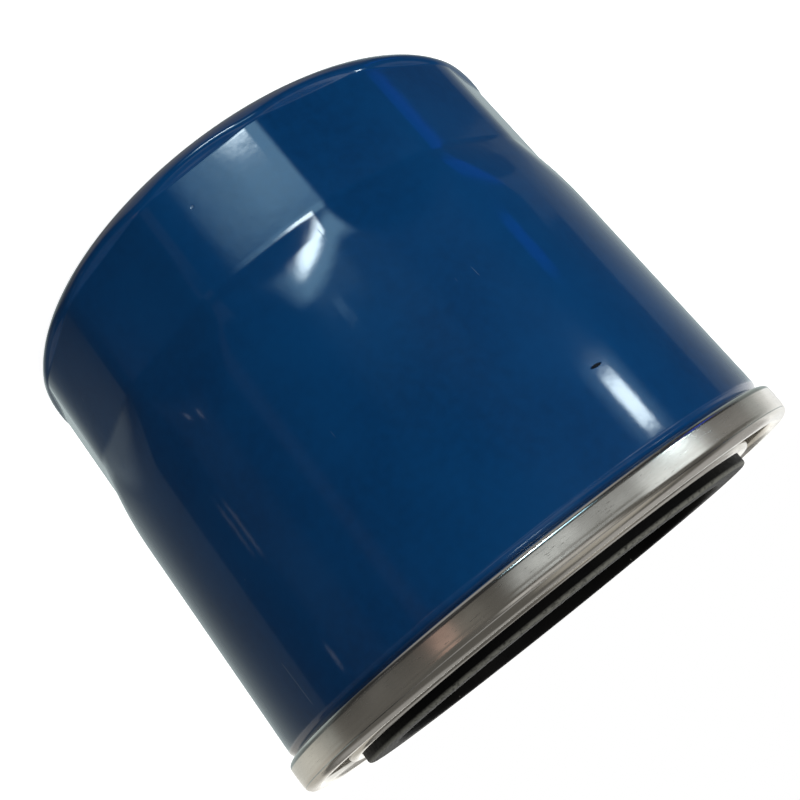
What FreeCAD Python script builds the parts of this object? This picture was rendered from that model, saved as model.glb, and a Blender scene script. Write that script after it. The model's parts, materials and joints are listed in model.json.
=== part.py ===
"""Spin-on engine oil filter, as an assembly of its separate pieces.

The filter stands on its closed end: the origin is the centre of that end, and +Z is the
thread axis, pointing out of the gasket end. All sizes are in millimetres.
"""
import FreeCAD, Part
import math
import os

Vector = FreeCAD.Vector
ORIGIN = Vector(0, 0, 0)
UP = Vector(0, 0, 1)

# ---- driving dimensions -------------------------------------------------------------
overall_height = 68.0          # closed end to the crest of the gasket
body_radius = 39.0             # painted can, over the ridges between the flats
seam_radius = 40.0             # outside of the double seam
can_sheet = 0.4
lid_sheet = 0.5
cap_sheet = 0.4

# wrench flats at the closed end
flat_count = 15
flat_pitch = 360.0 / flat_count
flat_distance = 38.15          # axis to a flat
flat_start = 3.9               # height where a flat begins
flat_end = 17.65               # height where a flat ends and its run-out begins
runout_slope = 0.133           # radial rise of the run-out per millimetre of height
runout_depth = 1.25            # radial reach of the run-out, more than a flat cuts anywhere
end_corner_radius = 4.2
fluted_height = 28.0           # above this the can is round
first_flat_angle = -90.0       # a flat faces -Y

# pressed panel in the closed end
panel_radius = 22.0
panel_depth = 0.8
panel_slope = 1.0              # radial run of the panel's edge

# levels of the gasket end, measured down from the gasket's crest
seam_bottom = overall_height - 5.95
seam_top = overall_height - 1.5
groove_rim_top = overall_height - 1.4
inner_rim_top = overall_height - 2.0
plate_top = overall_height - 5.4
plate_thickness = 3.0
plate_bottom = plate_top - plate_thickness
plate_radius = 37.3
plate_edge = 0.4               # eased edge

# double seam and the neck of the can below it
neck_length = 2.4
neck_below_seam = 1.2
neck_bend = 3.0
seam_tilt = math.radians(22)   # the crest falls outwards
crest_bend = 0.7
shoulder_bend = 1.3
can_hook_length = 2.6
lid_hook_drop = 1.9            # from the crest to the tip of the lid's hook
compound_depth = 0.35
compound_gap = 0.25            # between the compound and the lid's folded edge

# mounting thread M20 x 1.5, drawn at its minor diameter
thread_minor_radius = 18.376 / 2
collar_radius = 12.0
collar_length = 3.2
collar_bottom = plate_bottom - collar_length
thread_chamfer = 0.8

# oil inlet holes in the tapping plate
inlet_count = 8
inlet_radius = 3.0
inlet_circle_radius = 17.5

# gasket and its groove in the lid
gasket_outer_radius = 31.6
gasket_inner_radius = 27.0
gasket_edge_radius = 0.5
groove_outer_radius = 31.85
groove_inner_radius = 26.6
lid_hole_radius = 23.6
bead_width = 1.05              # between the centrelines of a bead's two walls
bead_foot_bend = 0.5
valley_bend = 0.7

# filter element
element_radius = 36.0
element_bottom = 9.6
element_top = 52.8
skirt_height = 3.3
cap_bend = 0.8
potting_thickness = 0.8
potting_clearance = 0.1        # to the centre tube
pleat_count = 44
pleat_outer_radius = 34.5
pleat_inner_radius = 14.6
paper_thickness = 0.55
fold_half_width = 0.15         # half of the flat inside a fold
clip_sheet = 0.3
clip_half_width = 1.05
clip_leg = 3.0
clip_end_gap = 3.0             # from each end of the pleats
clip_clearance = 0.05
tube_outer_radius = 13.5
tube_sheet = 0.5
tube_hole_radius = 1.4
tube_hole_columns = 12
tube_hole_rows = 8
tube_end_margin = 3.0          # from the last row of holes to the end cap
outlet_radius = 11.5           # hole in the end cap below the thread

# anti-drain-back valve
hub_outer_radius = 14.6
hub_inner_radius = 12.1
hub_top = 57.2
hub_edge_radius = 0.3
hub_clearance = 0.1            # above the element
flap_lip_radius = 23.4
flap_lip_width = 1.6
flap_land_width = 0.6          # flat top of the lip
flap_lip_rise = 0.4
flap_thickness = 0.9
flap_root_height = 55.6
flap_clearance = 0.05

# bypass valve in the lower end cap
bypass_hole_radius = 9.0
seat_radius = 8.2
seat_lip_top = 11.6
seat_bend = 0.5
seat_clearance = 0.2           # to the centre tube
cage_radius = 11.0
cage_top = 19.9
cage_foot_bend = 0.4
cage_top_bend = 1.2
cage_clearance = 0.4           # to the centre tube
cage_windows = 4
cage_window_width = 7.0
cage_window_height = 4.6
cage_window_rise = 2.6         # from the cage's flange to a window
poppet_radius = 9.6
poppet_disc = 1.0
poppet_stem_radius = 2.2
poppet_stem_top = 22.6
seal_thickness = 0.95
seal_inner_radius = 6.0
seal_margin = 0.1              # from the seal's edge to the disc's edge
seal_gap = 0.05
spigot_gap = 0.05
spigot_rise = 0.1              # the spigot ends this far inside the seal
stem_clearance = 0.1

# springs
wire_sides = 16
bypass_wire_radius = 0.4
bypass_coil_radius = 5.0
bypass_turns = 3.0
support_wire_radius = 0.9
support_coil_radius = 24.6
support_turns = 3.0

# ---- shape helpers ------------------------------------------------------------------


def at(radius, height):
    """Point in the half plane that is turned about the axis."""
    return Vector(radius, 0, height)


def left_of(direction):
    """Unit vector to the left of a direction in that half plane."""
    return Vector(-direction.z, 0, direction.x)


def moved_line(points, bends, shift):
    """Edges of a bent line moved to its left by shift, with each bend as an arc."""
    edges = []
    first = (points[1] - points[0]).normalize()
    here = points[0] + left_of(first) * shift
    for i, bend in enumerate(bends):
        before = (points[i + 1] - points[i]).normalize()
        after = (points[i + 2] - points[i + 1]).normalize()
        turn = before.getAngle(after)
        side = 1.0 if left_of(before).dot(after) > 0 else -1.0
        reach = bend * math.tan(turn / 2)
        centre = points[i + 1] - before * reach + left_of(before) * (side * bend)
        outwards = (points[i + 1] - centre).normalize()
        enter = points[i + 1] - before * reach + left_of(before) * shift
        leave = points[i + 1] + after * reach + left_of(after) * shift
        middle = centre + outwards * (bend - side * shift)
        if here.distanceToPoint(enter) > 1e-6:
            edges.append(Part.LineSegment(here, enter).toShape())
        edges.append(Part.Arc(enter, middle, leave).toShape())
        here = leave
    last = (points[-1] - points[-2]).normalize()
    edges.append(Part.LineSegment(here, points[-1] + left_of(last) * shift).toShape())
    return edges


def turned(face):
    """Ring made by turning a section about the axis."""
    return face.revolve(ORIGIN, UP, 360)


def plate_shape(corners, thickness):
    """Plate of a closed outline of points, thickness upwards."""
    return Part.Face(Part.makePolygon(corners + corners[:1])).extrude(UP * thickness)


def eased(ring_shape, radius):
    """The same ring with its circular edges rounded."""
    rims = [edge for edge in ring_shape.Edges if edge.BoundBox.ZLength < 1e-6]
    return ring_shape.makeFillet(radius, rims)


def pressed_ring(points, bends, sheet):
    """Sheet-metal ring that follows a centreline of (radius, height) points."""
    line = [at(*point) for point in points]
    one_side = moved_line(line, bends, sheet / 2)
    other_side = moved_line(line[::-1], bends[::-1], sheet / 2)
    far_cap = Part.LineSegment(one_side[-1].Vertexes[-1].Point, other_side[0].Vertexes[0].Point)
    near_cap = Part.LineSegment(other_side[-1].Vertexes[-1].Point, one_side[0].Vertexes[0].Point)
    edges = one_side + [far_cap.toShape()] + other_side + [near_cap.toShape()]
    return turned(Part.Face(Part.Wire(edges)))


def turned_outline(points):
    """Ring or disc made by turning a closed outline of (radius, height) points."""
    corners = [at(*point) for point in points]
    return turned(Part.Face(Part.makePolygon(corners + corners[:1])))


def ring(inner_radius, outer_radius, bottom, top):
    """Plain ring with a rectangular section."""
    foot = [(inner_radius, bottom), (outer_radius, bottom)]
    head = [(outer_radius, top), (inner_radius, top)]
    return turned_outline(foot + head)


def drilled(radius, bottom, top, distance=0.0, angle=0.0):
    """Vertical cylinder, for cutting a round hole at a distance from the axis."""
    tool = Part.makeCylinder(radius, top - bottom, Vector(distance, 0, bottom))
    tool.rotate(ORIGIN, UP, angle)
    return tool


def coil(coil_radius, wire_radius, turns, bottom, top):
    """Compression spring between two levels, its wire drawn with wire_sides narrow faces."""
    start_height = bottom + wire_radius
    rise = top - bottom - 2 * wire_radius
    helix = Part.makeHelix(rise / turns, rise, coil_radius)
    helix.translate(UP * start_height)
    corners = []
    for i in range(wire_sides):
        angle = 2 * math.pi * i / wire_sides
        across = wire_radius * math.cos(angle)
        corners.append(at(coil_radius + across, start_height + wire_radius * math.sin(angle)))
    section = Part.makePolygon(corners + corners[:1])
    return Part.Wire(helix).makePipeShell([section], True, True)


# ---- can ----------------------------------------------------------------------------


def flat_cutter(inset, angle):
    """Everything outside one wrench flat, its straight lower edge and its sloped run-out."""
    distance = flat_distance - inset
    outside = distance + 4 * runout_depth
    runout_top = flat_end + runout_depth / runout_slope
    below = flat_start - runout_depth
    corners = [
        (distance, flat_start),
        (distance, flat_end),
        (distance + runout_depth, runout_top),
        (outside, runout_top),
        (outside, below),
        (distance + 0.6 * runout_depth, below),
    ]
    width = 2 * body_radius * math.tan(math.radians(flat_pitch))
    outline = [at(*corner) for corner in corners]
    tool = Part.Face(Part.makePolygon(outline + outline[:1])).extrude(Vector(0, width, 0))
    tool.translate(Vector(0, -width / 2, 0))
    tool.rotate(ORIGIN, UP, angle)
    return tool


def closed_end_form(inset):
    """Solid inside the can's lower surface, or inside a surface that lies inset deeper."""
    form = Part.makeCylinder(body_radius - inset, fluted_height - inset, Vector(0, 0, inset))
    rim = [edge for edge in form.Edges if abs(edge.BoundBox.ZMax - inset) < 1e-6]
    form = form.makeFillet(end_corner_radius - inset, rim)
    form = form.cut([flat_cutter(inset, first_flat_angle + i * flat_pitch) for i in range(flat_count)])
    panel_edge = panel_radius + inset
    panel = Part.makeCone(panel_edge, panel_edge - panel_slope, panel_depth, Vector(0, 0, inset))
    return form.cut(panel)


# The seam's five layers lie one sheet apart: lid wall, can wall, lid hook, can hook, lid skirt.
layer_step = (can_sheet + lid_sheet) / 2
lid_skirt_line = seam_radius - lid_sheet / 2
can_hook_line = lid_skirt_line - layer_step
lid_hook_line = can_hook_line - layer_step
can_neck_line = lid_hook_line - layer_step
lid_wall_line = can_neck_line - layer_step
lid_hook_top = seam_top - lid_hook_drop
crest_rise = crest_bend * (math.tan(seam_tilt) + 1 / math.cos(seam_tilt))
crest_corner = seam_top - crest_bend - lid_sheet / 2 + crest_rise


def crest_line(radius, drop):
    """Height of the seam's sloped top layer, or of one that lies drop below it."""
    return crest_corner - (radius - lid_wall_line) * math.tan(seam_tilt) - drop / math.cos(seam_tilt)


def outer_can():
    """Deep-drawn can with the flats, the closed end and the hooked rim of the seam."""
    shell = closed_end_form(0).cut(closed_end_form(can_sheet))
    wall_line = body_radius - can_sheet / 2
    neck_end = seam_bottom - neck_below_seam
    neck_start = neck_end - neck_length
    hook_top = crest_line(can_hook_line, layer_step)
    wall = pressed_ring(
        [
            (wall_line, fluted_height),
            (wall_line, neck_start),
            (can_neck_line, neck_end),
            (can_neck_line, crest_line(can_neck_line, layer_step)),
            (can_hook_line, hook_top),
            (can_hook_line, hook_top - can_hook_length),
        ],
        [neck_bend, neck_bend, crest_bend - layer_step, shoulder_bend - layer_step],
        can_sheet,
    )
    return shell.fuse(wall).removeSplitter()


def seam_compound():
    """Sealing compound in the two small voids of the double seam."""
    can_hook_end = crest_line(can_hook_line, layer_step) - can_hook_length
    upper = ring(
        can_neck_line + can_sheet / 2,
        can_hook_line - can_sheet / 2,
        lid_hook_top,
        lid_hook_top + compound_depth,
    )
    lower = ring(
        lid_hook_line + lid_sheet / 2,
        lid_skirt_line - lid_sheet / 2,
        seam_bottom + lid_sheet + compound_gap,
        can_hook_end,
    )
    return Part.Compound([upper, lower])


# ---- gasket end ---------------------------------------------------------------------


def seaming_lid():
    """Thin lid: two beads that hold the gasket, a valley, and the rolled seam."""
    floor_line = plate_top + lid_sheet / 2
    skirt_line = seam_bottom + lid_sheet / 2
    inner_bead = groove_inner_radius - lid_sheet / 2
    outer_bead = groove_outer_radius + lid_sheet / 2
    inner_crest = inner_rim_top - lid_sheet / 2
    outer_crest = groove_rim_top - lid_sheet / 2
    bead_bends = [bead_foot_bend, bead_width / 2, bead_width / 2, bead_foot_bend]
    hook_bend = (lid_skirt_line - lid_hook_line) / 2
    return pressed_ring(
        [
            (lid_hole_radius, floor_line),
            (inner_bead - bead_width, floor_line),
            (inner_bead - bead_width, inner_crest),
            (inner_bead, inner_crest),
            (inner_bead, floor_line),
            (outer_bead, floor_line),
            (outer_bead, outer_crest),
            (outer_bead + bead_width, outer_crest),
            (outer_bead + bead_width, floor_line),
            (lid_wall_line, floor_line),
            (lid_wall_line, crest_corner),
            (lid_skirt_line, crest_line(lid_skirt_line, 0)),
            (lid_skirt_line, skirt_line),
            (lid_hook_line, skirt_line),
            (lid_hook_line, lid_hook_top),
        ],
        bead_bends + bead_bends + [valley_bend, crest_bend, shoulder_bend, hook_bend, hook_bend],
        lid_sheet,
    )


def sealing_gasket():
    """Square-cut rubber ring with eased edges, standing proud of its groove."""
    groove_floor = plate_top + lid_sheet
    body = ring(gasket_inner_radius, gasket_outer_radius, groove_floor, overall_height)
    return eased(body, gasket_edge_radius)


def tapping_plate():
    """Thick steel plate with the threaded collar and the ring of inlet holes."""
    plate = turned_outline(
        [
            (0, collar_bottom),
            (collar_radius, collar_bottom),
            (collar_radius, plate_bottom),
            (plate_radius - plate_edge, plate_bottom),
            (plate_radius, plate_bottom + plate_edge),
            (plate_radius, plate_top - plate_edge),
            (plate_radius - plate_edge, plate_top),
            (0, plate_top),
        ]
    )
    thread = drilled(thread_minor_radius, collar_bottom, plate_top)
    wide = thread_minor_radius + thread_chamfer
    chamfer_foot = Vector(0, 0, plate_top - thread_chamfer)
    lead_in = Part.makeCone(thread_minor_radius, wide, thread_chamfer, chamfer_foot)
    inlets = [
        drilled(inlet_radius, plate_bottom, plate_top, inlet_circle_radius, i * 360.0 / inlet_count)
        for i in range(inlet_count)
    ]
    return plate.cut([thread, lead_in] + inlets)


# ---- anti-drain-back valve ----------------------------------------------------------


def drainback_hub():
    """Thick rubber ring that grips the threaded collar and seals on the element."""
    bottom = element_top + hub_clearance
    body = ring(hub_inner_radius, hub_outer_radius, bottom, hub_top)
    return eased(body, hub_edge_radius)


def drainback_flap():
    """Thin rubber cone that closes the inlet holes from inside."""
    root = hub_outer_radius + flap_clearance
    lip_top = plate_bottom - flap_clearance
    lip_start = flap_lip_radius - flap_lip_width
    return turned_outline(
        [
            (root, flap_root_height),
            (lip_start, lip_top - flap_thickness - flap_lip_rise),
            (flap_lip_radius, lip_top - flap_thickness),
            (flap_lip_radius, lip_top),
            (flap_lip_radius - flap_land_width, lip_top),
            (lip_start, lip_top - flap_lip_rise),
            (root, flap_root_height + flap_thickness),
        ]
    )


# ---- filter element -----------------------------------------------------------------

cap_floor_low = element_bottom + cap_sheet
cap_floor_high = element_top - cap_sheet
media_bottom = cap_floor_low + potting_thickness
media_top = cap_floor_high - potting_thickness
skirt_line = element_radius - cap_sheet / 2


def end_cap(face_height, skirt_tip, hole_radius):
    """Stamped cap: a flat disc with a centre hole and a turned-in skirt."""
    corners = [(skirt_line, skirt_tip), (skirt_line, face_height), (hole_radius, face_height)]
    return pressed_ring(corners, [cap_bend], cap_sheet)


def inlet_end_cap():
    """End cap below the tapping plate, open in the middle for clean oil."""
    return end_cap(element_top - cap_sheet / 2, element_top - skirt_height, outlet_radius)


def bypass_end_cap():
    """End cap above the support spring, open in the middle for the bypass valve."""
    return end_cap(element_bottom + cap_sheet / 2, element_bottom + skirt_height, bypass_hole_radius)


def potting_ring(bottom):
    """Cured adhesive between an end cap and the ends of the pleats."""
    inner = tube_outer_radius + potting_clearance
    return ring(inner, skirt_line - cap_bend, bottom, bottom + potting_thickness)


def pleat_loop(tip_radius, tip_half, valley_radius, valley_half):
    """Closed zigzag with short flats at its tips and valleys."""
    points = []
    step = 2 * math.pi / pleat_count
    for i in range(pleat_count):
        for middle, radius, half in (
            (i * step, tip_radius, tip_half),
            ((i + 0.5) * step, valley_radius, valley_half),
        ):
            for angle in (middle - half / radius, middle + half / radius):
                x = radius * math.cos(angle)
                y = radius * math.sin(angle)
                points.append(Vector(x, y, media_bottom))
    return Part.makePolygon(points + points[:1])


def pleated_media():
    """Folded filter paper, one closed star."""
    narrow = fold_half_width
    wide = narrow + paper_thickness
    outside = pleat_loop(pleat_outer_radius, wide, pleat_inner_radius + paper_thickness, narrow)
    inside = pleat_loop(pleat_outer_radius - paper_thickness, narrow, pleat_inner_radius, wide)
    section = Part.Face(outside).cut(Part.Face(inside))
    return section.extrude(UP * (media_top - media_bottom)).Solids[0]


def media_seam_clip():
    """Steel channel crimped over the pleat where the two ends of the paper meet."""
    inner_half = clip_half_width
    outer_half = inner_half + clip_sheet
    leg_end = pleat_outer_radius - clip_leg
    back = pleat_outer_radius + clip_clearance
    outline = [
        (leg_end, -outer_half),
        (back + clip_sheet, -outer_half),
        (back + clip_sheet, outer_half),
        (leg_end, outer_half),
        (leg_end, inner_half),
        (back, inner_half),
        (back, -inner_half),
        (leg_end, -inner_half),
    ]
    corners = [Vector(x, y, media_bottom + clip_end_gap) for x, y in outline]
    return plate_shape(corners, media_top - media_bottom - 2 * clip_end_gap)


def centre_tube():
    """Perforated steel tube that carries the pleats against the oil pressure."""
    tube = ring(tube_outer_radius - tube_sheet, tube_outer_radius, cap_floor_low, cap_floor_high)
    first_row = cage_top + tube_end_margin
    row_step = (cap_floor_high - tube_end_margin - first_row) / (tube_hole_rows - 1)
    holes = []
    for row in range(tube_hole_rows):
        for column in range(tube_hole_columns):
            angle = (column + 0.5 * (row % 2)) * 360.0 / tube_hole_columns
            start = Vector(tube_outer_radius - 2 * tube_sheet, 0, first_row + row * row_step)
            hole = Part.makeCylinder(tube_hole_radius, 3 * tube_sheet, start, Vector(1, 0, 0))
            hole.rotate(ORIGIN, UP, angle)
            holes.append(hole)
    return tube.cut(holes)


# ---- bypass valve -------------------------------------------------------------------

seat_floor_line = cap_floor_low + cap_sheet / 2
seal_bottom = seat_lip_top + seal_gap
disc_bottom = seal_bottom + seal_thickness
disc_top = disc_bottom + poppet_disc


def bypass_seat():
    """Stamped ring with the raised lip that the valve closes on."""
    outer = tube_outer_radius - tube_sheet - seat_clearance
    corners = [(outer, seat_floor_line), (seat_radius, seat_floor_line), (seat_radius, seat_lip_top)]
    return pressed_ring(corners, [seat_bend], cap_sheet)


def bypass_cage():
    """Stamped cup over the valve, with windows for the oil and a hole for the stem."""
    flange_line = seat_floor_line + cap_sheet
    top_line = cage_top - cap_sheet / 2
    cup = pressed_ring(
        [
            (tube_outer_radius - tube_sheet - cage_clearance, flange_line),
            (cage_radius, flange_line),
            (cage_radius, top_line),
            (poppet_stem_radius + stem_clearance, top_line),
        ],
        [cage_foot_bend, cage_top_bend],
        cap_sheet,
    )
    window_bottom = flange_line + cage_window_rise
    cutter_depth = 4.0
    windows = []
    for i in range(cage_windows):
        window = Part.makeBox(cutter_depth, cage_window_width, cage_window_height)
        window.translate(
            Vector(cage_radius - cutter_depth / 2, -cage_window_width / 2, window_bottom)
        )
        window.rotate(ORIGIN, UP, (i + 0.5) * 360.0 / cage_windows)
        windows.append(window)
    return cup.cut(windows)


def bypass_poppet():
    """Valve disc with a guide stem above and a spigot for the seal below."""
    spigot = seal_inner_radius - spigot_gap
    return turned_outline(
        [
            (0, seal_bottom + spigot_rise),
            (spigot, seal_bottom + spigot_rise),
            (spigot, disc_bottom),
            (poppet_radius, disc_bottom),
            (poppet_radius, disc_top),
            (poppet_stem_radius, disc_top),
            (poppet_stem_radius, poppet_stem_top),
            (0, poppet_stem_top),
        ]
    )


def bypass_seal_ring():
    """Flat rubber washer on the valve disc."""
    return ring(seal_inner_radius, poppet_radius - seal_margin, seal_bottom, disc_bottom)


def bypass_spring():
    """Small coil that holds the bypass valve shut."""
    top = cage_top - cap_sheet
    return coil(bypass_coil_radius, bypass_wire_radius, bypass_turns, disc_top, top)


def support_spring():
    """Wide coil that presses the element towards the tapping plate."""
    top = element_bottom
    return coil(support_coil_radius, support_wire_radius, support_turns, can_sheet, top)


# ---- files --------------------------------------------------------------------------

pieces = {
    "outer_can": outer_can(),
    "seam_compound": seam_compound(),
    "seaming_lid": seaming_lid(),
    "sealing_gasket": sealing_gasket(),
    "tapping_plate": tapping_plate(),
    "drainback_hub": drainback_hub(),
    "drainback_flap": drainback_flap(),
    "inlet_end_cap": inlet_end_cap(),
    "inlet_potting_ring": potting_ring(media_top),
    "pleated_media": pleated_media(),
    "media_seam_clip": media_seam_clip(),
    "centre_tube": centre_tube(),
    "bypass_potting_ring": potting_ring(cap_floor_low),
    "bypass_end_cap": bypass_end_cap(),
    "bypass_seat": bypass_seat(),
    "bypass_cage": bypass_cage(),
    "bypass_poppet": bypass_poppet(),
    "bypass_seal_ring": bypass_seal_ring(),
    "bypass_spring": bypass_spring(),
    "support_spring": support_spring(),
}

os.makedirs("parts", exist_ok=True)
for name, shape in pieces.items():
    shape.exportStep("parts/" + name + ".step")
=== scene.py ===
"""Looks of a spin-on engine oil filter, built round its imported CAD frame.

Everything is in metres, in the frame of the CAD: the origin is the centre of the closed end,
and +Z is the thread axis, pointing out of the gasket end.
"""
import json
import math
import bmesh
import bpy
from mathutils import Matrix, Vector


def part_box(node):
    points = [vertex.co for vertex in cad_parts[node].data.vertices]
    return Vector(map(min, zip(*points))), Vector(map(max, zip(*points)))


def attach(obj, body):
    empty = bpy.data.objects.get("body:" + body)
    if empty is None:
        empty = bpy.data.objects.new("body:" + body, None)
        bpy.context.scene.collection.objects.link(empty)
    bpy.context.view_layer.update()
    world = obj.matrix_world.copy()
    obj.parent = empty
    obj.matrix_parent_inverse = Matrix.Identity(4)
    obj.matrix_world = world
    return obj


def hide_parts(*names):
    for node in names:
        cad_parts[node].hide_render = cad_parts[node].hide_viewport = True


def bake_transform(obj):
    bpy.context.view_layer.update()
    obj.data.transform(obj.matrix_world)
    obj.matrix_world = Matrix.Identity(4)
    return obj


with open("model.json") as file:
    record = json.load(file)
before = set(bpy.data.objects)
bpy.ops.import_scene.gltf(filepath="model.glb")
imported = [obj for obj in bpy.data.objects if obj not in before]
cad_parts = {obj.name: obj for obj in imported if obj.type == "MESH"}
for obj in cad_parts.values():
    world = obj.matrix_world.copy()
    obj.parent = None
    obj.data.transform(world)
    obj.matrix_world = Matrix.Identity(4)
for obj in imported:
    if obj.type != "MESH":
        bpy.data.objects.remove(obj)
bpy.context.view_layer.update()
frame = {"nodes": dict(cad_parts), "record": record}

MM = 0.001
TURN = 2 * math.pi


def top_of(node):
    """Height of a node's highest point."""
    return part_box(node)[1][2]


def foot_of(node):
    """Height of a node's lowest point."""
    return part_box(node)[0][2]


def radius_of(node):
    """Largest radius of a node that is centred on the axis."""
    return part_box(node)[1][0]


# ---- dimensions ---------------------------------------------------------------------
overall_height = top_of("sealing_gasket")
seam_radius = radius_of("seaming_lid")
seam_bottom = foot_of("seaming_lid")
body_radius = seam_radius - 1.0 * MM
can_sheet = 0.4 * MM
lid_sheet = 0.5 * MM

# wrench flats
flat_count = 15
flat_distance = body_radius - 0.85 * MM
flat_start = 3.9 * MM
flat_end = 17.65 * MM
flat_lead = 0.6                # radial fall per unit of height below a flat
runout_slope = 0.133
fluted_height = 30 * MM
first_flat_angle = -TURN / 4   # a flat faces -Y
end_corner_radius = 4.2 * MM
panel_radius = 22 * MM
panel_depth = 0.8 * MM
panel_slope = 1.0 * MM

# double seam
neck_length = 0.8 * MM
neck_below_seam = 0.3 * MM
neck_bend = 0.5 * MM
seam_top = overall_height - 1.5 * MM
seam_tilt = math.radians(22)
crest_bend = 0.7 * MM
shoulder_bend = 1.3 * MM
lid_hook_drop = 1.9 * MM
can_hook_length = 2.6 * MM

# lid, gasket and tapping plate
plate_top = top_of("tapping_plate")
plate_thickness = 3.0 * MM
plate_radius = radius_of("tapping_plate")
groove_rim_top = overall_height - 1.4 * MM
inner_rim_top = overall_height - 2.0 * MM
groove_outer_radius = 31.85 * MM
groove_inner_radius = 26.6 * MM
lid_hole_radius = 23.6 * MM
bead_width = 1.05 * MM
bead_foot_bend = 0.5 * MM
valley_bend = 0.7 * MM
gasket_outer_radius = radius_of("sealing_gasket")
gasket_inner_radius = 27.0 * MM
gasket_edge_radius = 0.5 * MM
collar_radius = 12.0 * MM
collar_bottom = foot_of("tapping_plate")
inlet_count = 8
inlet_radius = 3.0 * MM
inlet_circle_radius = 17.5 * MM

# thread M20 x 1.5
thread_pitch = 1.5 * MM
thread_major_radius = 10.0 * MM
thread_minor_radius = 9.188 * MM
thread_chamfer = 0.8 * MM
thread_step = 0.06 * MM        # longest mesh step along the thread
thread_clearance = 0.02 * MM   # the plate's face stays flat by this much

# ---- shape helpers ------------------------------------------------------------------


def bent_line(points, bends, arc_steps=8):
    """(point, left-hand normal) pairs along a bent line, with each bend as an arc."""
    corners = [Vector(point) for point in points]

    def heading(i):
        return (corners[i + 1] - corners[i]).normalized()

    def left(direction):
        return Vector((-direction.y, direction.x))

    line = [(corners[0], left(heading(0)))]
    for i, bend in enumerate(bends):
        before = heading(i)
        after = heading(i + 1)
        turn = before.angle_signed(after)
        side = -1.0 if turn > 0 else 1.0
        start = corners[i + 1] - before * (bend * math.tan(abs(turn) / 2))
        centre = start + left(before) * (side * bend)
        for step in range(arc_steps + 1):
            normal = left(before)
            normal.rotate(Matrix.Rotation(side * abs(turn) * step / arc_steps, 2))
            line.append((centre - normal * (side * bend), normal))
    line.append((corners[-1], left(heading(len(corners) - 2))))
    return line


def subdivided(line, longest):
    """The same (point, normal) pairs with extra ones, so that no step is longer than longest."""
    finer = []
    for (here, normal), (there, next_normal) in zip(line, line[1:]):
        steps = max(1, math.ceil((there - here).length / longest))
        for step in range(steps):
            share = step / steps
            finer.append((here.lerp(there, share), normal.lerp(next_normal, share)))
    return finer + [line[-1]]


def rounded_outline(corners, bends):
    """Closed outline through corners, rounded at each corner but the first."""
    line = bent_line(corners + corners[:1], bends)
    return [point for point, normal in line[:-1]]


def evenly(count):
    """Angles of equal steps round the axis."""
    return [TURN * i / count for i in range(count)]


def mesh_piece(name, rows, closed_rows=False):
    """Smooth mesh whose rows of points each run round to where they start."""
    vertices = [vertex for row in rows for vertex in row]
    across = len(rows[0])
    faces = []
    for i in range(len(rows) if closed_rows else len(rows) - 1):
        here = i * across
        above = (i + 1) % len(rows) * across
        for j in range(across):
            after = (j + 1) % across
            faces.append((here + j, here + after, above + after, above + j))
    mesh = bpy.data.meshes.new(name)
    mesh.from_pydata(vertices, [], faces)
    return shaded(name, mesh)


def shaded(name, mesh, weld_distance=0.1e-6, sharp_angle=math.radians(40)):
    """Object of a mesh, welded, with smooth faces that break only at sharp edges."""
    work = bmesh.new()
    work.from_mesh(mesh)
    bmesh.ops.remove_doubles(work, verts=work.verts, dist=weld_distance)
    bmesh.ops.dissolve_degenerate(work, edges=work.edges, dist=weld_distance)
    bmesh.ops.recalc_face_normals(work, faces=work.faces)
    work.to_mesh(mesh)
    work.free()
    mesh.shade_smooth()
    mesh.set_sharp_from_angle(angle=sharp_angle)
    piece = bpy.data.objects.new(name, mesh)
    bpy.context.collection.objects.link(piece)
    return piece


def round_about(outline, angles, shaped=None):
    """Rows of points made by turning an outline; shaped(radius, height, angle) bends them."""
    rows = []
    for point in outline:
        row = []
        for angle in angles:
            radius, height = point
            if shaped:
                radius, height = shaped(radius, height, angle)
            row.append((radius * math.cos(angle), radius * math.sin(angle), height))
        rows.append(row)
    return rows


def turned(name, outline, around=288, shaped=None):
    """Ring or disc made by turning a closed outline about the axis."""
    return mesh_piece(name, round_about(outline, evenly(around), shaped), closed_rows=True)


def smooth_min(first, second, width):
    """The smaller value, rounded over a width where the two cross."""
    overlap = max(width - abs(first - second), 0.0) / width
    return min(first, second) - overlap * overlap * width / 4


# ---- can ----------------------------------------------------------------------------
flat_pitch = TURN / flat_count
ridge_rounding = 0.8 * MM
crease_rounding = 0.07 * MM
fade_rounding = 0.55 * MM
fade_length = 3 * MM           # below a flat, over which its ridges soften
outside_step = 0.2 * MM        # longest mesh step along the can's outline
inside_step = 1.5 * MM


def fluted(radius, height, angle):
    """A can point moved in to the wrench flat at its angle."""
    if height > fluted_height or radius < panel_radius:
        return radius, height
    from_middle = (angle - first_flat_angle + flat_pitch / 2) % flat_pitch - flat_pitch / 2
    from_next = flat_pitch - abs(from_middle)
    past_end = -smooth_min(flat_end - height, 0.0, crease_rounding / runout_slope)
    before_start = max(flat_start - height, 0.0)
    distance = flat_distance + runout_slope * past_end + flat_lead * before_start
    flats = smooth_min(
        distance / math.cos(from_middle), distance / math.cos(from_next), ridge_rounding
    )
    fading = min(past_end / fade_length, 1.0)
    rounding = ridge_rounding + (fade_rounding - ridge_rounding) * fading
    return smooth_min(radius, flats, rounding), height


def fluted_angles(per_flat=36, crowding=0.7):
    """Angles round the can, closer together near the ridges between the flats."""
    angles = []
    for i in range(flat_count * per_flat):
        share = 2 * (i % per_flat) / per_flat - 1
        within = share + crowding * math.sin(math.pi * share) / math.pi
        angles.append(first_flat_angle + flat_pitch * (i // per_flat + within / 2))
    return angles


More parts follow.
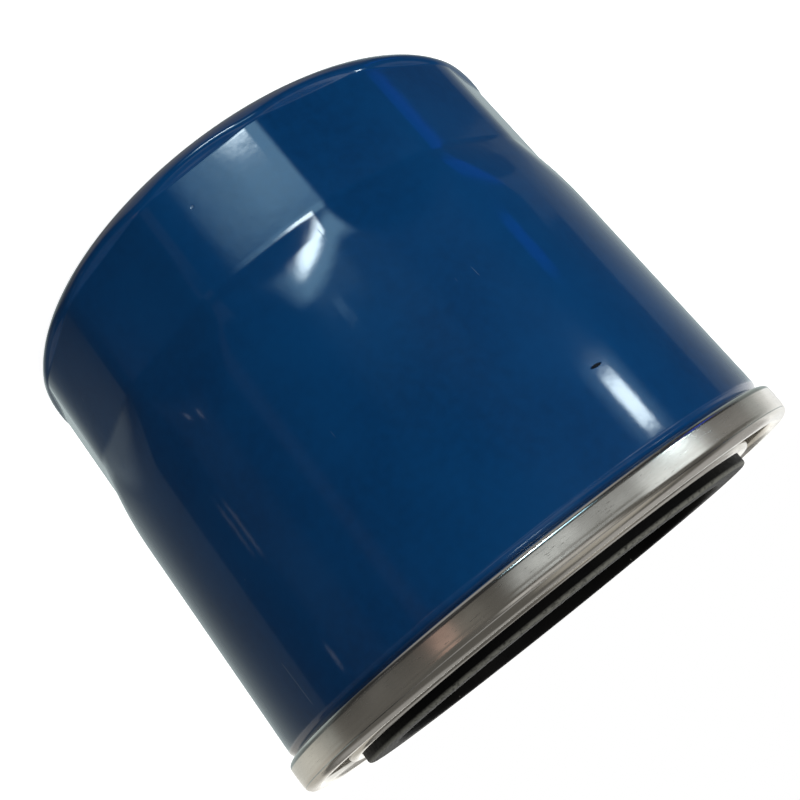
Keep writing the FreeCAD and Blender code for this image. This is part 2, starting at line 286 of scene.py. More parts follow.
layer_step = (can_sheet + lid_sheet) / 2
lid_skirt_line = seam_radius - lid_sheet / 2
can_hook_line = lid_skirt_line - layer_step
lid_hook_line = can_hook_line - layer_step
can_neck_line = lid_hook_line - layer_step
lid_wall_line = can_neck_line - layer_step
lid_hook_top = seam_top - lid_hook_drop
crest_rise = crest_bend * (math.tan(seam_tilt) + 1 / math.cos(seam_tilt))
crest_corner = seam_top - crest_bend - lid_sheet / 2 + crest_rise


def crest_line(radius, drop):
    """Height of the seam's sloped top layer, or of one that lies drop below it."""
    return crest_corner - (radius - lid_wall_line) * math.tan(seam_tilt) - drop / math.cos(seam_tilt)


def outer_can():
    """Deep-drawn can: pressed closed end, flats, wall, neck and the hook inside the seam."""
    wall_line = body_radius - can_sheet / 2
    panel_line = panel_depth + can_sheet / 2
    neck_end = seam_bottom - neck_below_seam
    hook_top = crest_line(can_hook_line, layer_step)
    line = bent_line(
        [
            (0, panel_line),
            (panel_radius - panel_slope, panel_line),
            (panel_radius, can_sheet / 2),
            (wall_line, can_sheet / 2),
            (wall_line, neck_end - neck_length),
            (can_neck_line, neck_end),
            (can_neck_line, crest_line(can_neck_line, layer_step)),
            (can_hook_line, hook_top),
            (can_hook_line, hook_top - can_hook_length),
        ],
        [panel_slope, panel_slope, end_corner_radius - can_sheet / 2, neck_bend, neck_bend]
        + [crest_bend - layer_step, shoulder_bend - layer_step],
        arc_steps=14,
    )
    outer_line = subdivided(line, outside_step)
    outside = [point - normal * (can_sheet / 2) for point, normal in outer_line]
    inner_line = subdivided(line, inside_step)
    inside = [point + normal * (can_sheet / 2) for point, normal in inner_line]
    angles = fluted_angles()

    def inner_flute(radius, height, angle):
        radius, height = fluted(radius + can_sheet, height, angle)
        return radius - can_sheet, height

    rows = round_about(outside, angles, fluted)
    rows += round_about(inside[::-1], angles, inner_flute)
    return mesh_piece("can_shell", rows, closed_rows=True)


# ---- gasket end ---------------------------------------------------------------------
seam_groove_height = overall_height - 3.2 * MM
seam_groove_depth = 0.01 * MM
seam_groove_width = 0.2 * MM
seam_taper = 0.015             # radial fall of the rolled wall per unit of height, at its foot
seam_taper_growth = 0.015 / MM
weld_count = 8
weld_radius = 1.3 * MM
weld_depth = 0.12 * MM


def seaming_lid():
    """Thin lid: two beads round the gasket, a valley with weld marks, and the rolled seam."""
    floor_line = plate_top + lid_sheet / 2
    skirt_line = seam_bottom + lid_sheet / 2
    inner_bead = groove_inner_radius - lid_sheet / 2
    outer_bead = groove_outer_radius + lid_sheet / 2
    inner_crest = inner_rim_top - lid_sheet / 2
    outer_crest = groove_rim_top - lid_sheet / 2
    bead_bends = [bead_foot_bend, bead_width / 2, bead_width / 2, bead_foot_bend]
    hook_bend = (lid_skirt_line - lid_hook_line) / 2
    line = bent_line(
        [
            (lid_hole_radius, floor_line),
            (inner_bead - bead_width, floor_line),
            (inner_bead - bead_width, inner_crest),
            (inner_bead, inner_crest),
            (inner_bead, floor_line),
            (outer_bead, floor_line),
            (outer_bead, outer_crest),
            (outer_bead + bead_width, outer_crest),
            (outer_bead + bead_width, floor_line),
            (lid_wall_line, floor_line),
            (lid_wall_line, crest_corner),
            (lid_skirt_line, crest_line(lid_skirt_line, 0)),
            (lid_skirt_line, skirt_line),
            (lid_hook_line, skirt_line),
            (lid_hook_line, lid_hook_top),
        ],
        bead_bends + bead_bends + [valley_bend, crest_bend, shoulder_bend, hook_bend, hook_bend],
    )
    line = subdivided(line, 0.1 * MM)
    one_side = [point + normal * (lid_sheet / 2) for point, normal in line]
    other_side = [point - normal * (lid_sheet / 2) for point, normal in line]
    weld_circle = (outer_bead + bead_width + lid_wall_line) / 2

    def rolled(radius, height, angle):
        """Tapers and grooves the rolled wall of the seam, and marks the welds in the valley."""
        if radius > seam_radius - lid_sheet / 4:
            offset = (height - seam_groove_height) / seam_groove_width
            radius -= seam_groove_depth * math.exp(-offset * offset)
            above = max(height - seam_bottom - lid_sheet, 0.0)
            radius -= (seam_taper + seam_taper_growth * above / 2) * above
        if abs(radius - weld_circle) < weld_radius and height < plate_top + 2 * lid_sheet:
            weld_angle = TURN / weld_count
            around = (angle + weld_angle / 2) % weld_angle - weld_angle / 2
            distance = math.hypot(radius - weld_circle, around * radius) / weld_radius
            if distance < 1 and height > plate_top + lid_sheet / 2:
                height -= weld_depth * (1 - distance * distance) ** 2
        return radius, height

    return turned("lid_and_seam", one_side + other_side[::-1], around=480, shaped=rolled)


def sealing_gasket():
    """Square-cut rubber ring with eased edges, standing proud of its groove."""
    groove_floor = plate_top + lid_sheet
    middle = (gasket_inner_radius + gasket_outer_radius) / 2
    corners = [
        (middle, groove_floor),
        (gasket_outer_radius, groove_floor),
        (gasket_outer_radius, overall_height),
        (gasket_inner_radius, overall_height),
        (gasket_inner_radius, groove_floor),
    ]
    return turned("gasket_ring", rounded_outline(corners, [gasket_edge_radius] * 4), around=480)


def thread_radius(height, angle):
    """Radius of the M20 x 1.5 internal thread, a right-hand helix."""
    phase = (height / thread_pitch - angle / TURN) % 1.0
    from_root = abs(phase - 0.5)
    half_root = 1 / 16
    half_flank = 5 / 16
    depth_share = min(max((half_root + half_flank - from_root) / half_flank, 0.0), 1.0)
    return thread_minor_radius + (thread_major_radius - thread_minor_radius) * depth_share


def inlet_cutter():
    """Tool for one inlet hole, wider at both faces so that it breaks their edges."""
    plate_bottom = plate_top - plate_thickness
    break_width = 0.25 * MM
    beyond = 1.0 * MM
    outline = [
        Vector((0, plate_bottom - beyond)),
        Vector((inlet_radius + break_width, plate_bottom - beyond)),
        Vector((inlet_radius + break_width, plate_bottom)),
        Vector((inlet_radius, plate_bottom + break_width)),
        Vector((inlet_radius, plate_top - break_width)),
        Vector((inlet_radius + break_width, plate_top)),
        Vector((inlet_radius + break_width, plate_top + beyond)),
        Vector((0, plate_top + beyond)),
    ]
    return turned("inlet_cutter", outline, around=72)


def tapping_plate():
    """Thick steel plate with its drawn collar, real thread and eight inlet holes."""
    plate_bottom = plate_top - plate_thickness
    rim = 0.4 * MM
    lead_out = 0.4 * MM
    eased = 0.1 * MM
    collar_foot_bend = 0.5 * MM
    outline_start = (plate_radius - 5 * MM, plate_bottom)
    corners = [
        outline_start,
        (plate_radius, plate_bottom),
        (plate_radius, plate_top),
        (thread_minor_radius + thread_chamfer, plate_top),
        (thread_minor_radius, plate_top - thread_chamfer),
        (thread_minor_radius, collar_bottom + lead_out),
        (thread_minor_radius + lead_out, collar_bottom),
        (collar_radius, collar_bottom),
        (collar_radius, plate_bottom),
        outline_start,
    ]
    line = bent_line(corners, [rim, rim] + [eased] * 4 + [collar_foot_bend, rim])
    outline = []
    for (here, normal), (there, next_normal) in zip(line, line[1:]):
        on_thread = max(here.x, there.x) < thread_major_radius
        longest = thread_step if on_thread else plate_thickness
        steps = max(1, math.ceil((there - here).length / longest))
        outline += [here.lerp(there, step / steps) for step in range(steps)]

    def threaded(radius, height, angle):
        if radius < thread_major_radius and height < plate_top - thread_clearance:
            radius = max(radius, thread_radius(height, angle))
        return radius, height

    plate = turned("plate_blank", outline, around=240, shaped=threaded)
    cutter = inlet_cutter()
    for i in range(inlet_count):
        angle = TURN * i / inlet_count
        tool = cutter.copy()
        tool.location = (
            inlet_circle_radius * math.cos(angle), inlet_circle_radius * math.sin(angle), 0
        )
        bpy.context.collection.objects.link(tool)
        cut = plate.modifiers.new("inlet", "BOOLEAN")
        cut.operation = "DIFFERENCE"
        cut.object = tool
    bpy.context.view_layer.update()
    graph = bpy.context.evaluated_depsgraph_get()
    mesh = bpy.data.meshes.new_from_object(plate.evaluated_get(graph))
    for helper in [plate, cutter] + [cut.object for cut in plate.modifiers]:
        bpy.data.objects.remove(helper)
    return shaded("plate_with_thread", mesh)


# ---- valves and springs -------------------------------------------------------------
hub_clearance = 0.1 * MM       # to the threaded collar
hub_edge_radius = 0.4 * MM
flap_clearance = 0.05 * MM     # to the hub
flap_thickness = 0.9 * MM
flap_land_width = 0.6 * MM
flap_lip_width = 1.6 * MM
flap_lip_rise = 0.4 * MM
support_wire_radius = 0.9 * MM
bypass_wire_radius = 0.4 * MM
spring_turns = 3


def drainback_hub():
    """Thick rubber ring round the threaded collar."""
    low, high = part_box("drainback_hub")
    inner = collar_radius + hub_clearance
    middle = (inner + high[0]) / 2
    corners = [
        (middle, low[2]), (high[0], low[2]), (high[0], high[2]), (inner, high[2]), (inner, low[2])
    ]
    return turned("valve_hub", rounded_outline(corners, [hub_edge_radius] * 4), around=192)


def drainback_flap():
    """Thin rubber cone with a rounded lip that closes the inlet holes from inside."""
    low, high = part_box("drainback_flap")
    root = radius_of("drainback_hub") + flap_clearance
    lip = high[0]
    lip_start = lip - flap_lip_width
    corners = [
        (lip_start, high[2] - flap_thickness - flap_lip_rise),
        (lip, high[2] - flap_thickness),
        (lip, high[2]),
        (lip - flap_land_width, high[2]),
        (lip_start, high[2] - flap_lip_rise),
        (root, low[2] + flap_thickness),
        (root, low[2]),
    ]
    bends = [0.25 * MM, 0.25 * MM, 0.2 * MM, 0.3 * MM, 0.05 * MM, 0.05 * MM]
    line = bent_line(corners + corners[:1], bends)
    outline = [point for point, normal in subdivided(line, 0.4 * MM)[:-1]]
    return turned("valve_flap", outline, around=192)


def coil_spring(name, node, wire_radius, turns, per_turn=72, around=20):
    """Compression spring with close end turns, in the box of its CAD node."""
    low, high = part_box(node)
    coil_radius = high[0] - wire_radius
    foot = low[2] + wire_radius
    rise = high[2] - low[2] - 2 * wire_radius
    steps = int(turns * per_turn)
    rows = []
    for i in range(steps + 1):
        share = i / steps
        angle = TURN * turns * share
        height = foot + rise * share * share * (3 - 2 * share)
        row = []
        for j in range(around):
            side = TURN * j / around
            radius = coil_radius + wire_radius * math.cos(side)
            z = height + wire_radius * math.sin(side)
            row.append((radius * math.cos(angle), radius * math.sin(angle), z))
        rows.append(row)
    ends = []
    for row in (rows[0], rows[-1]):
        middle = sum((Vector(point) for point in row), Vector()) / around
        ends.append([tuple(middle)] * around)
    return mesh_piece(name, [ends[0]] + rows + [ends[1]])


# ---- materials ----------------------------------------------------------------------


class Painter:
    """A new material, or the world, with short ways to add its nodes."""

    def __init__(self, name, world=False):
        self.material = (bpy.data.worlds if world else bpy.data.materials).new(name)
        self.material.use_nodes = True
        self.tree = self.material.node_tree
        self.shader = self.tree.nodes["Background" if world else "Principled BSDF"]
        coordinates = self.add("ShaderNodeTexCoord")
        self.place = coordinates.outputs["Generated" if world else "Object"]

    def add(self, kind, inputs=None, **settings):
        """New node: settings are its properties, inputs its sockets' values or links."""
        node = self.tree.nodes.new(kind)
        for name, value in settings.items():
            setattr(node, name, value)
        for name, value in (inputs or {}).items():
            self.feed(node.inputs[name], value)
        return node

    def feed(self, socket, value):
        """Gives a socket a value or a link."""
        if isinstance(value, bpy.types.NodeSocket):
            self.tree.links.new(value, socket)
        else:
            socket.default_value = value

    def set(self, **inputs):
        """Feeds the shader; an underscore stands for a space in a socket's name."""
        for name, value in inputs.items():
            self.feed(self.shader.inputs[name.replace("_", " ")], value)

    def stretched(self, x, y, z):
        """Object coordinates scaled along each axis."""
        mapping = self.add("ShaderNodeMapping", {"Vector": self.place, "Scale": (x, y, z)})
        return mapping.outputs["Vector"]

    def round_and_along(self, around, along):
        """Coordinates that run round the axis and along it, for rolled or drawn metal."""
        split = self.add("ShaderNodeSeparateXYZ", {"Vector": self.place})
        angle = self.math("ARCTAN2", split.outputs["Y"], split.outputs["X"])
        radius = self.add(
            "ShaderNodeVectorMath", {0: self.stretched(1, 1, 0)}, operation="LENGTH"
        )
        joined = self.add(
            "ShaderNodeCombineXYZ",
            {"X": angle, "Y": radius.outputs["Value"], "Z": split.outputs["Z"]},
        )
        mapping = self.add(
            "ShaderNodeMapping",
            {"Vector": joined.outputs[0], "Scale": (around, along, along)},
        )
        return mapping.outputs["Vector"]

    def noise(self, scale, detail=4.0, roughness=0.5, place=None, distortion=0.0):
        """Noise whose cells are about 1 / scale metres wide."""
        return self.add(
            "ShaderNodeTexNoise",
            {
                "Vector": place or self.place,
                "Scale": scale,
                "Detail": detail,
                "Roughness": roughness,
                "Distortion": distortion,
            },
        ).outputs["Fac"]

    def cracks(self, scale, place=None):
        """Distance to the edges of random cells."""
        return self.add(
            "ShaderNodeTexVoronoi",
            {"Vector": place or self.place, "Scale": scale},
            feature="DISTANCE_TO_EDGE",
        ).outputs["Distance"]

    def specks(self, scale, place=None):
        """Distance to random points."""
        return self.add(
            "ShaderNodeTexVoronoi", {"Vector": place or self.place, "Scale": scale}
        ).outputs["Distance"]

    def remap(self, value, low, high, to_low=0.0, to_high=1.0):
        """Value stretched from one range to another, and held inside it."""
        return self.add(
            "ShaderNodeMapRange",
            {
                "Value": value,
                "From Min": low,
                "From Max": high,
                "To Min": to_low,
                "To Max": to_high,
            },
        ).outputs["Result"]

    def math(self, operation, *values):
        """Result of one arithmetic step."""
        return self.add("ShaderNodeMath", dict(enumerate(values)), operation=operation).outputs[0]

    def times(self, first, second):
        """Product of two values."""
        return self.math("MULTIPLY", first, second)

    def plus(self, first, second):
        """Sum of two values."""
        return self.math("ADD", first, second)

    def inside_ellipse(self, angle, height, half_length, half_width):
        """1 inside a small ellipse that lies round the can wall, and 0 outside."""
        centre = (body_radius * math.cos(angle), body_radius * math.sin(angle), height)
        local = self.add(
            "ShaderNodeMapping",
            {
                "Vector": self.place,
                "Location": centre,
                "Rotation": (0, 0, angle),
                "Scale": (half_length, half_length, half_width),
            },
            vector_type="TEXTURE",
        )
        distance = self.add(
            "ShaderNodeVectorMath", {0: local.outputs["Vector"]}, operation="LENGTH"
        )
        return self.remap(distance.outputs["Value"], 0.7, 1.0, 1.0, 0.0)

    def near_edge(self, radius, height, reach):
        """1 on a turned edge of this radius and height, falling to 0 at the reach."""
        split = self.add("ShaderNodeSeparateXYZ", {"Vector": self.place})
        outward = self.add(
            "ShaderNodeVectorMath", {0: self.stretched(1, 1, 0)}, operation="LENGTH"
        )
        across = self.plus(outward.outputs["Value"], -radius)
        up = self.plus(split.outputs["Z"], -height)
        distance = self.math("SQRT", self.plus(self.times(across, across), self.times(up, up)))
        return self.remap(distance, reach / 2, reach, 1.0, 0.0)

    def blended(self, share, first, second):
        """Colour that goes from first to second as share goes from 0 to 1."""
        mix = self.add("ShaderNodeMix", data_type="RGBA")
        self.feed(mix.inputs["Factor"], share)
        sides = [socket for socket in mix.inputs if socket.type == "RGBA"]
        self.feed(sides[0], first)
        self.feed(sides[1], second)
        return [socket for socket in mix.outputs if socket.type == "RGBA"][0]

    def bump(self, height, distance, below=None):
        """Normal of a surface raised by height times distance."""
        node = self.add("ShaderNodeBump", {"Height": height, "Distance": distance})
        if below:
            self.feed(node.inputs["Normal"], below)
        return node.outputs["Normal"]


# A small near-black mark on the can wall, 1.9 mm long round the axis and 0.45 mm tall. The coat is
# left off there and the surface dips slightly.
mark_angle = math.radians(-121.4)
mark_height = 50.8 * MM
mark_length = 1.9 * MM
mark_width = 0.45 * MM


def blue_paint():
    """Deep blue baked enamel under a clear gloss, with orange peel, fine scratches and specks."""
    paint = Painter("blue_enamel")
    cloud = paint.noise(55, detail=3)
    grain = paint.noise(900, detail=2)
    colour = paint.blended(
        paint.remap(cloud, 0.35, 0.65), (0.0004, 0.024, 0.084, 1), (0.0008, 0.033, 0.110, 1)
    )
    colour = paint.blended(paint.remap(grain, 0.3, 0.7, 0.0, 0.35), colour, (0.001, 0.04, 0.13, 1))
    scuffs = paint.remap(paint.noise(240, detail=6, roughness=0.7), 0.62, 0.75)
    hairlines = paint.remap(paint.cracks(130, paint.stretched(1, 1, 0.12)), 0.0, 0.006, 1.0, 0.0)
    broken = paint.remap(paint.noise(160, detail=2), 0.68, 0.72)
    scratches = paint.times(hairlines, broken)
    pits = paint.remap(paint.specks(210), 0.03, 0.06, 1.0, 0.0)
    rare = paint.remap(paint.noise(90, detail=1), 0.64, 0.68)
    specks = paint.times(pits, rare)
    marks = paint.plus(scratches, specks)
    colour = paint.blended(paint.times(marks, 0.5), colour, (0.10, 0.16, 0.24, 1))
    # Near-black mark on the wall, with no coat and a slight dip.
    dark_mark = paint.inside_ellipse(mark_angle, mark_height, mark_length / 2, mark_width / 2)
    colour = paint.blended(dark_mark, colour, (0.002, 0.003, 0.005, 1))
    peel = paint.bump(paint.noise(520, detail=2), 0.006 * MM)
    ripple = paint.bump(paint.noise(70, detail=1), 0.03 * MM, peel)
    marked = paint.bump(paint.plus(marks, paint.times(dark_mark, 4)), -0.02 * MM, ripple)
    paint.set(
        Base_Color=colour,
        Roughness=paint.plus(paint.remap(scuffs, 0, 1, 0.30, 0.42), paint.times(marks, 0.2)),
        Specular_IOR_Level=0.05,
        Coat_Weight=paint.remap(dark_mark, 0, 1, 1.0, 0.0),
        Coat_Roughness=paint.remap(scuffs, 0, 1, 0.07, 0.2),
        Coat_IOR=1.5,
        Normal=marked,
        Coat_Normal=marked,
    )
    return paint.material


def bare_metal(name, light, dark, roughness, streaks, scratch_depth=0.6, tint=(0.5, 0.42, 0.3, 1)):
    """Rolled steel with streaks round the axis, faint stains and fine scratches."""
    metal = Painter(name)
    around = metal.round_and_along(6, 2600)
    streak = metal.noise(1.0, detail=5, roughness=0.65, place=around)
    cloud = metal.noise(120, detail=4, roughness=0.6)
    stain = metal.remap(metal.noise(45, detail=5, roughness=0.65), 0.55, 0.72)
    scratch = metal.remap(
        metal.noise(1.0, detail=2, place=metal.round_and_along(25, 9000)), 0.66, 0.74
    )
    colour = metal.blended(metal.remap(streak, 0.3, 0.7), dark, light)
    colour = metal.blended(metal.times(stain, 0.25), colour, tint)
    height = metal.plus(metal.times(streak, streaks), metal.times(scratch, -scratch_depth))
    metal.set(
        Base_Color=colour,
        Metallic=1.0,
        Roughness=metal.plus(
            metal.remap(cloud, 0.3, 0.7, roughness - 0.07, roughness + 0.1),
            metal.times(scratch, 0.15),
        ),
        Normal=metal.bump(height, 0.012 * MM),
    )
    return metal.material


def tinplate():
    """Bright tin-plated steel of the lid, caps and tube."""
    return bare_metal(
        "bright_tinplate", (0.74, 0.71, 0.66, 1), (0.69, 0.66, 0.61, 1), 0.18, 0.05, 0.1
    )


def oiled_steel():
    """Thick stamped steel under a thin film of oil."""
    return bare_metal(
        "oiled_stamped_steel", (0.36, 0.36, 0.36, 1), (0.22, 0.22, 0.22, 1), 0.32, 0.5,
        tint=(0.20, 0.17, 0.12, 1),
    )


def spring_steel():
    """Drawn wire with a satin grey skin."""
    return bare_metal(
        "drawn_wire", (0.34, 0.34, 0.36, 1), (0.20, 0.20, 0.22, 1), 0.3, 0.2,
        tint=(0.16, 0.13, 0.10, 1),
    )


# Reach of the pale line painted along the gasket's outer top edge: a painted highlight, not wear.
edge_highlight_reach = 0.55 * MM


def rubber(name, shade, roughness, highlight_edge=None):
    """Moulded rubber with a fine matt grain, faint bloom and dust, and perhaps a painted highlight
    along one turned edge.
    """
    skin = Painter(name)
    bloom = skin.remap(skin.noise(60, detail=5, roughness=0.6), 0.45, 0.75)
    grain = skin.noise(2400, detail=3)
    dust = skin.remap(skin.specks(420), 0.02, 0.07, 1.0, 0.0)
    dusty = skin.times(dust, skin.remap(skin.noise(140, detail=2), 0.58, 0.64))
    dark = (shade, shade, shade * 1.03, 1)
    pale = (shade * 2.2, shade * 2.15, shade * 2.0, 1)
    colour = skin.blended(bloom, dark, pale)
    colour = skin.blended(skin.times(dusty, 0.5), colour, (0.16, 0.15, 0.13, 1))
    # A pale line painted along the given turned edge is a painted highlight, not wear.
    if highlight_edge:
        edge_highlight = skin.times(skin.near_edge(*highlight_edge, edge_highlight_reach), skin.remap(grain, 0.2, 0.5))
        colour = skin.blended(edge_highlight, colour, (0.08, 0.08, 0.07, 1))
    skin.set(
        Base_Color=colour,
        Roughness=skin.remap(grain, 0.3, 0.7, roughness - 0.08, roughness + 0.1),
        Specular_IOR_Level=0.05,
        Normal=skin.bump(grain, 0.02 * MM),
    )
    return skin.material


def filter_paper():
    """Resin-treated paper with felted fibres."""
    paper = Painter("resin_paper")
    fibres = paper.noise(1500, detail=6, roughness=0.75, place=paper.stretched(1, 1, 0.45))
    cloud = paper.noise(180, detail=3)
    colour = paper.blended(
        paper.remap(cloud, 0.3, 0.7), (0.56, 0.36, 0.13, 1), (0.68, 0.47, 0.20, 1)
    )
    colour = paper.blended(paper.remap(fibres, 0.4, 0.7, 0, 0.5), colour, (0.80, 0.62, 0.33, 1))
    paper.set(
        Base_Color=colour,
        Roughness=paper.remap(fibres, 0.3, 0.7, 0.75, 0.95),
        Sheen_Weight=0.15,
        Normal=paper.bump(fibres, 0.05 * MM),
    )
    return paper.material


def cured_resin(name, pale, dark, roughness):
    """Poured or squeezed compound with soft waves and small bubbles."""
    resin = Painter(name)
    wave = resin.noise(160, detail=3)
    bubbles = resin.remap(resin.specks(700), 0.05, 0.12, 1.0, 0.0)
    rare = resin.remap(resin.noise(200, detail=2), 0.52, 0.6)
    colour = resin.blended(resin.remap(wave, 0.3, 0.7), dark, pale)
    resin.set(
        Base_Color=colour,
        Roughness=resin.remap(wave, 0.3, 0.7, roughness - 0.08, roughness + 0.08),
        Subsurface_Weight=0.05,
        Subsurface_Scale=0.4 * MM,
        Normal=resin.bump(resin.plus(wave, resin.times(bubbles, resin.times(rare, -0.6))), 0.05 * MM),
    )
    return resin.material


def valve_plastic():
    """Black glass-filled nylon with a faint flow grain."""
    plastic = Painter("glass_filled_nylon")
    fibres = plastic.noise(1800, detail=4, roughness=0.7, place=plastic.stretched(1, 0.3, 1))
    colour = plastic.blended(
        plastic.remap(fibres, 0.4, 0.7), (0.018, 0.018, 0.020, 1), (0.05, 0.05, 0.052, 1)
    )
    plastic.set(
        Base_Color=colour,
        Roughness=plastic.remap(fibres, 0.3, 0.7, 0.42, 0.6),
        Normal=plastic.bump(fibres, 0.02 * MM),
    )
    return plastic.material


looks = {
    "blue_paint": blue_paint(),
    "tinplate": tinplate(),
    # The gasket gets a painted highlight along its outer top edge.
    "black_rubber": rubber("gasket_rubber", 0.002, 0.5, (gasket_outer_radius, overall_height)),
    "nitrile": rubber("nitrile_rubber", 0.02, 0.42),
    "oiled_steel": oiled_steel(),
    "spring_steel": spring_steel(),
    "filter_paper": filter_paper(),
    "adhesive": cured_resin("potting_resin", (0.55, 0.50, 0.38, 1), (0.44, 0.38, 0.26, 1), 0.45),
    "compound": cured_resin("seam_sealant", (0.30, 0.31, 0.29, 1), (0.20, 0.21, 0.20, 1), 0.5),
    "valve_plastic": valve_plastic(),
}


# ---- pieces on their bodies ---------------------------------------------------------
slot_of = {part["node"]: part["material_slot"] for part in frame["record"]["subparts"]}


def dress(piece, material):
    """Gives a piece one material, in place of any that it has."""
    piece.data.materials.clear()
    piece.data.materials.append(material)


def stand_for(piece, node):
    """The piece is shown for a CAD node and takes its material slot."""
    dress(piece, looks[slot_of[node]])
    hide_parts(node)
    return piece


for node, body in (
    (stand_for(outer_can(), "outer_can"), "shell"),
    (stand_for(seaming_lid(), "seaming_lid"), "shell"),
    (stand_for(sealing_gasket(), "sealing_gasket"), "shell"),
    (stand_for(tapping_plate(), "tapping_plate"), "shell"),
    (stand_for(drainback_hub(), "drainback_hub"), "shell"),
):
    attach(node, body)

flap = stand_for(drainback_flap(), "drainback_flap")
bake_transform(flap)

spring = stand_for(
    coil_spring("element_spring", "support_spring", support_wire_radius, spring_turns),
    "support_spring",
)
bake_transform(spring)

spring = stand_for(
    coil_spring("valve_spring", "bypass_spring", bypass_wire_radius, spring_turns),
    "bypass_spring",
)
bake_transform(spring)

for name, node in frame["nodes"].items():
    if not node.hide_render:
        for slot in node.material_slots:
            slot.material = looks[slot_of[name]]


# ---- floor, backdrop, lights and camera ---------------------------------------------

floor_glow = 0.85


def backdrop_paper():
    """Matt white paper with the faintest tooth."""
    paper = Painter("white_backdrop")
    tooth = paper.noise(300, detail=3)
    paper.set(
        Base_Color=paper.blended(
            paper.remap(tooth, 0.3, 0.7), (0.88, 0.88, 0.88, 1), (0.92, 0.92, 0.92, 1)
        ),
        Roughness=0.9,
        Emission_Color=(1, 1, 1, 1),
        Emission_Strength=floor_glow,
        Normal=paper.bump(tooth, 0.02 * MM),
    )
    return paper.material


def pale_floor(size=6.0):
    """Large flat floor under the filter."""
    half = size / 2
    mesh = bpy.data.meshes.new("floor")
    corners = [(-half, -half, 0), (half, -half, 0), (half, half, 0), (-half, half, 0)]
    mesh.from_pydata(corners, [], [(0, 1, 2, 3)])
    floor = bpy.data.objects.new("floor", mesh)
    bpy.context.collection.objects.link(floor)
    dress(floor, backdrop_paper())
    floor.visible_glossy = False
    floor.visible_diffuse = False


def softbox(name, place, target, width, height, power, colour=(1, 1, 1)):
    """Rectangular area light that faces a target."""
    light = bpy.data.lights.new(name, "AREA")
    light.shape = "RECTANGLE"
    light.size = width
    light.size_y = height
    light.energy = power
    light.color = colour
    lamp = bpy.data.objects.new(name, light)
    lamp.location = place
    lamp.rotation_euler = (Vector(target) - Vector(place)).to_track_quat("-Z", "Y").to_euler()
    lamp.visible_glossy = False
    bpy.context.collection.objects.link(lamp)


# Soft panels round the filter, as (name, bearing, height, half width, half height, fade to the
# sides, fade up and down, brightness, tint). Angles are in degrees; the bearing runs from -Y
# towards +X, and a height below zero looks down at the dark table that the filter hangs over.
warm = (1.0, 0.96, 0.86)
cool = (0.90, 0.97, 1.0)
neutral = (1.0, 1.0, 1.0)
cyan = (0.85, 1.0, 1.0)
rose = (1.0, 0.55, 0.42)
mauve = (1.0, 0.85, 1.0)
daylight = (0.8, 0.94, 1.0)
sky = (0.45, 0.8, 1.0)
deep_blue = (0.0, 0.08, 1.0)
studio_panels = [
    ("lamp", -9, -34.2, 4.5, 1.6, 4.5, 2.5, 24, daylight),
    ("lamp shade", -15.5, -30.8, 13, 3, 8, 4, 3.8, sky),
    ("lamp glow", -12, -23.5, 6, 1.5, 8, 1.5, 0.45, sky),
    ("lamp haze", -18, -20, 16, 3, 10, 5, 0.07, sky),
    ("lamp rim", -9, -21, 1.6, 0.25, 0.6, 0.3, 1.4, sky),
    ("window", -73, -7.8, 2.2, 0.9, 2.4, 1.3, 20, daylight),
    ("window glow", -73, -8, 4, 1.6, 8, 2, 1.4, sky),
    ("table glow", -48, -14, 14, 8, 22, 8, 0.04, neutral),
    ("table below", 0, -80, 180, 15, 1, 20, 0.3, neutral),
    ("right wall", -153, -12, 36.5, 30, 1.5, 2, 0.13, cyan),
    ("right bulge", -109.5, -20.5, 5.5, 2.8, 1, 0.7, 0.10, cyan),
    ("left wall", 139, -12, 41, 9, 1.5, 10, 0.11, cyan),
    ("low left wall", 135, -30, 15, 5, 12, 5, 0.3, cyan),
    ("far wall", 180, -27, 5, 22, 62, 2, 0.45, cyan),
    ("left band", 38.5, -16, 1, 10, 4, 3, 0.055, mauve),
    ("left glow", 66, -14, 6, 10, 6, 6, 0.035, neutral),
    ("low left glow", 30, -31, 5, 3, 3, 2, 0.07, neutral),
    ("small lamp", 77.2, -15, 0.3, 0.8, 0.8, 1.2, 0.5, warm),
    ("smaller lamp", 81, -15.3, 0.2, 0.6, 0.7, 1.2, 0.4, warm),
    ("first spot", 61.5, -22.5, 0.2, 0.8, 0.4, 0.8, 1.1, neutral),
    ("second spot", 66.5, -23, 0.3, 0.5, 0.5, 0.6, 1.1, neutral),
    ("third spot", 78, -7, 0.5, 0.3, 0.5, 0.4, 0.8, neutral),
    ("shelf edge", 0, 9, 180, 12, 1, 1, 0.09, warm),
    ("window sill", -68, 4, 10, 7.5, 10, 1, 1.0, cool),
    ("right ledge", -96, 0, 20, 3.5, 10, 0.6, 0.15, neutral),
    ("front shelf", -32, 0, 16, 3.5, 14, 0.6, 0.36, cool),
    ("shelf lamp", -9, 0, 8, 3.5, 11, 0.6, 0.55, cool),
    ("shelf rose", 36, 0, 2, 3.5, 5, 0.6, 0.35, rose),
    ("shelf warmth", 30, 0.5, 5, 3.5, 10, 0.5, 0.08, warm),
    ("left shelf", 145, 8, 22, 12, 35, 1, 0.42, warm),
    ("right shelf", -165, 8, 20, 12, 30, 1, 0.8, neutral),
    ("room", 0, 57, 180, 33, 1, 3, 0.08, warm),
    ("ceiling lamp", -12, 30, 20, 7, 12, 4, 0.45, neutral),
    ("front ceiling", -42, 58, 18, 16, 30, 10, 0.35, warm),
    ("left ceiling", 155, 45, 25, 12, 20, 10, 0.25, neutral),
    ("right ceiling", -140, 45, 20, 26, 20, 5, 0.33, neutral),
    ("blue cloth", -87.5, -17.3, 2, 1, 2, 1.5, 1.1, deep_blue),
    ("blue patch", -95, -26, 7, 1.8, 4, 3, 0.8, deep_blue),
]
table_brightness = 0.035
backdrop_brightness = 1.0


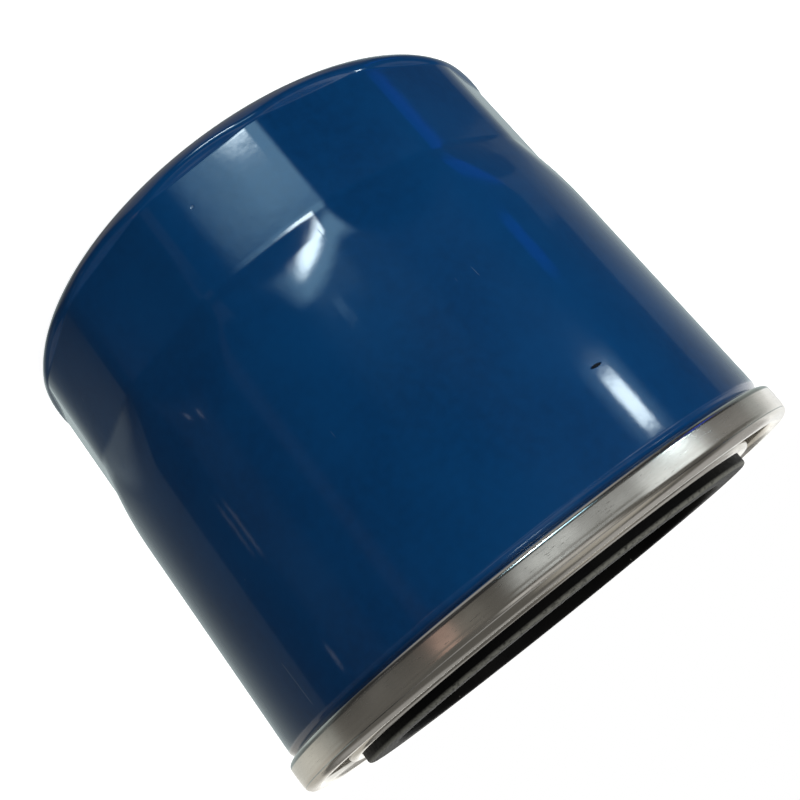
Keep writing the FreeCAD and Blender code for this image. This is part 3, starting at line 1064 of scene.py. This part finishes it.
def studio_world():
    """Plain white behind the filter; round it, the soft panels that its gloss reflects."""
    world = Painter("studio", world=True)
    split = world.add("ShaderNodeSeparateXYZ", {"Vector": world.place})
    toward = world.times(split.outputs["Y"], -1.0)
    bearing = world.math("DEGREES", world.math("ARCTAN2", split.outputs["X"], toward))
    height = world.math("DEGREES", world.math("ARCSINE", split.outputs["Z"]))

    def within(distance, half, edge):
        fade = world.add(
            "ShaderNodeMapRange",
            {"Value": distance, "From Min": half, "From Max": half + edge, "To Min": 1, "To Max": 0},
            interpolation_type="SMOOTHSTEP",
        )
        return fade.outputs["Result"]

    light = (table_brightness, table_brightness, table_brightness)
    for panel in studio_panels:
        middle, level, half_width, half_height, side_fade, level_fade, brightness = panel[1:-1]
        tint = panel[-1]
        sideways = world.math("WRAP", world.plus(bearing, -middle), 180.0, -180.0)
        upward = world.plus(height, -level)
        share = world.times(
            within(world.math("ABSOLUTE", sideways), half_width, side_fade),
            within(world.math("ABSOLUTE", upward), half_height, level_fade),
        )
        colour = [brightness * part for part in tint]
        glow = world.add("ShaderNodeVectorMath", {0: colour, "Scale": share}, operation="SCALE")
        light = world.add("ShaderNodeVectorMath", {0: light, 1: glow.outputs[0]}).outputs[0]
    seen = world.add("ShaderNodeLightPath").outputs["Is Camera Ray"]
    white = (backdrop_brightness, backdrop_brightness, backdrop_brightness, 1)
    world.set(Color=world.blended(seen, light, white), Strength=1.0)
    bpy.context.scene.world = world.material


def photograph_camera():
    """Camera close to the gasket end, rolled so that the axis runs down to the right."""
    place = Vector((-1.34, -150.21, 72.20)) * MM
    pitch = math.radians(15.40)
    roll = math.radians(141.25)
    camera = bpy.data.cameras.new("camera")
    camera.sensor_width = 36
    camera.lens = 48.97
    camera.clip_start = 0.005
    body = bpy.data.objects.new("camera", camera)
    aim = Matrix.Rotation(TURN / 4 - pitch, 4, "X") @ Matrix.Rotation(roll, 4, "Z")
    body.matrix_world = Matrix.Translation(place) @ aim
    bpy.context.collection.objects.link(body)
    bpy.context.scene.camera = body


pale_floor()
studio_world()
filter_middle = (0, 0, overall_height / 2)
softbox("key", (-0.45, -0.5, 0.25), filter_middle, 0.4, 0.4, 5)
softbox("fill", (0.5, -0.45, 0.2), filter_middle, 0.4, 0.4, 1.2)
softbox("overhead", (-0.1, 0.1, 0.9), filter_middle, 0.6, 0.6, 6)
photograph_camera()
bpy.context.scene.view_settings.view_transform = "Standard"
